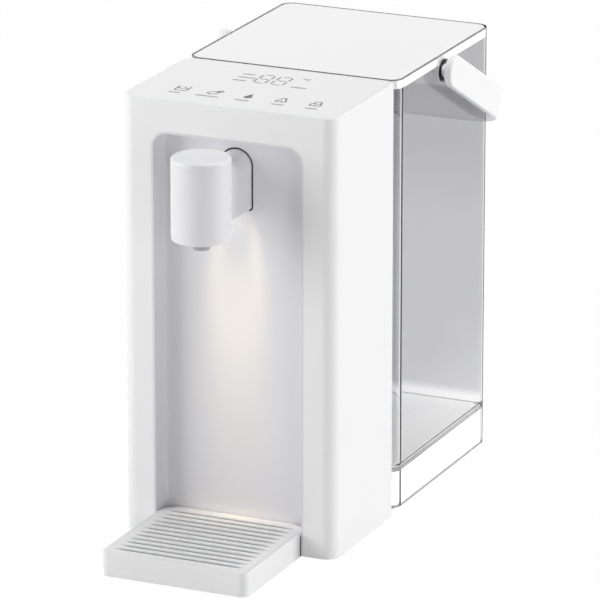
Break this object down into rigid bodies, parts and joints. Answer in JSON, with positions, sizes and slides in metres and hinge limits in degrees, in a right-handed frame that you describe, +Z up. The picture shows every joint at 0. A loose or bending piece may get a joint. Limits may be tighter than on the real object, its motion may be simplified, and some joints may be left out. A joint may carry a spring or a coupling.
{
  "type": "countertop hot water dispenser",
  "caption": "Slim countertop hot water dispenser: housing with alcove, round spout and sliding drip tray, in front of a lift-off clear tank with lid and swinging strap handle.",
  "frame": {"origin": "on the worktop under the middle of the whole object", "axes": "+Z up, -Y towards the front, where the spout and drip tray are, +X to the right as seen from the front"},
  "size_m": [0.1732, 0.3634, 0.3012],
  "materials": {
    "white_shell": "smooth white moulded plastic, low gloss",
    "alcove_grey": "fine matt grey plastic",
    "panel_white": "flat white touch panel, satin",
    "tank_clear": "clear smoke-grey moulded plastic",
    "lid_white": "smooth white plastic",
    "handle_white": "smooth white plastic strap",
    "spout_white": "smooth white plastic",
    "nozzle_grey": "smooth grey plastic",
    "lens_clear": "clear warm lens",
    "tray_white": "matt white plastic",
    "base_white": "matt white plastic",
    "foot_rubber": "soft matt rubber",
    "seal_rubber": "pale silicone rubber",
    "hose_silicone": "pale silicone tube",
    "steel": "plain steel",
    "board_green": "printed circuit board",
    "lamp_red": "display block with lit segments",
    "pad_grey": "conductive foam",
    "cable_grey": "flat ribbon cable",
    "inner_plastic": "black heat-proof plastic"
  },
  "bodies": {
    "housing": {"front_shell": "white_shell", "alcove_panel": "alcove_grey", "control_panel": "panel_white", "control_board": "board_green", "display_module": "lamp_red", "touch_pads": "pad_grey", "rear_panel": "base_white", "rear_screws": "steel", "power_board": "board_green", "board_cable": "cable_grey", "base_plate": "base_white", "base_screws": "steel", "rubber_feet": "foot_rubber", "tank_platform": "base_white", "cord_gland": "inner_plastic", "spout_arm": "spout_white", "spout_head": "spout_white", "spout_bottom": "nozzle_grey", "nozzle": "nozzle_grey", "light_lens": "lens_clear", "light_board": "board_green", "inlet_socket": "base_white", "inlet_seal": "seal_rubber", "pump_cradle": "inner_plastic", "pump_motor": "steel", "pump_body": "inner_plastic", "pump_cover": "inner_plastic", "heater_tube": "steel", "heater_caps": "inner_plastic", "heater_bracket": "inner_plastic", "thermostat": "steel", "inlet_hose": "hose_silicone", "pump_hose": "hose_silicone", "outlet_hose": "hose_silicone"},
    "tank": {"water_tank": "tank_clear", "tank_valve": "base_white", "valve_spring": "steel"},
    "lid": {"tank_lid": "lid_white"},
    "handle": {"tank_handle": "handle_white", "handle_pins": "handle_white"},
    "plunger": {"valve_plunger": "base_white", "valve_seal": "seal_rubber"},
    "tray": {"drip_tray": "tray_white"},
    "grille": {"drip_grille": "tray_white"},
    "impeller": {"pump_impeller": "base_white"}
  },
  "joints": [
    {"name": "tank_lift", "type": "slide", "parent": "housing", "child": "tank", "axis": [0, 0, 1], "range_m": [0, 0.3]},
    {"name": "lid_lift", "type": "slide", "parent": "tank", "child": "lid", "axis": [0, 0, 1], "range_m": [0, 0.06]},
    {"name": "handle_swing", "type": "hinge", "parent": "tank", "child": "handle", "pos_m": [0, 0.08188, 0.2897], "axis": [1, 0, 0], "range_deg": [0, 118]},
    {"name": "valve_drop", "type": "slide", "parent": "tank", "child": "plunger", "axis": [0, 0, 1], "range_m": [-0.003, 0], "deforming": ["valve_spring"]},
    {"name": "tray_slide", "type": "slide", "parent": "housing", "child": "tray", "axis": [0, -1, 0], "range_m": [0, 0.11]},
    {"name": "grille_lift", "type": "slide", "parent": "tray", "child": "grille", "axis": [0, 0, 1], "range_m": [0, 0.05]},
    {"name": "impeller_spin", "type": "hinge", "parent": "housing", "child": "impeller", "pos_m": [-0.0065, -0.02484, 0.0166], "axis": [0, 1, 0], "continuous": true}
  ],
  "couplings": [
    {"joint": "valve_drop", "follows": "tank_lift", "ratio": -0.01}
  ]
}
